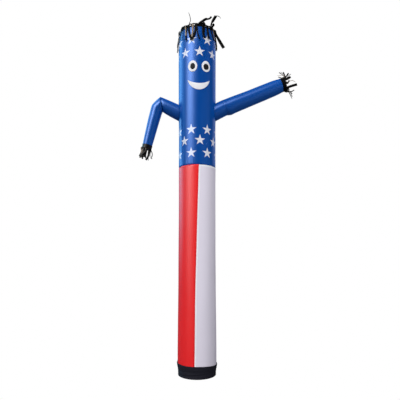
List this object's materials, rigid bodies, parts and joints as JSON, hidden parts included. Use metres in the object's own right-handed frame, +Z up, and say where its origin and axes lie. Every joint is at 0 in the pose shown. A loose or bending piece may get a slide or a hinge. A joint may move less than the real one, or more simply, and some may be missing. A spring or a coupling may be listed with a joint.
{
  "type": "inflatable air dancer",
  "caption": "Standing cloth air dancer: an upright tube with an open head and hollow arms, a sewn face, ribbon fringes and a base collar for a fan.",
  "frame": {"origin": "middle of the whole object's bounding box, at the height of the surface it stands on", "axes": "+Z up along the tube; the face looks along -Y; left and right are a viewer's in front, so the right arm is on +X"},
  "size_m": [1.3444, 0.3514, 2.9614],
  "materials": {
    "blue_nylon": "satin coated nylon with printed white stars",
    "red_nylon": "satin coated nylon",
    "white_nylon": "satin coated nylon",
    "white_patch": "matt sewn patch",
    "black_patch": "matt sewn patch",
    "black_cuff": "heavy nylon, slightly crumpled",
    "black_ribbon": "glossy streamer ribbon"
  },
  "bodies": {
    "root": {"upper_body": "blue_nylon", "left_shoulder": "blue_nylon", "left_sleeve": "blue_nylon", "right_shoulder": "blue_nylon", "right_sleeve": "blue_nylon", "lower_red": "red_nylon", "lower_white": "white_nylon", "base_cuff": "black_cuff", "eye_left": "white_patch", "eye_right": "white_patch", "mouth": "white_patch", "pupil_left": "black_patch", "pupil_right": "black_patch", "head_fringe": "black_ribbon", "left_hand_fringe": "black_ribbon", "right_hand_fringe": "black_ribbon"}
  },
  "joints": []
}
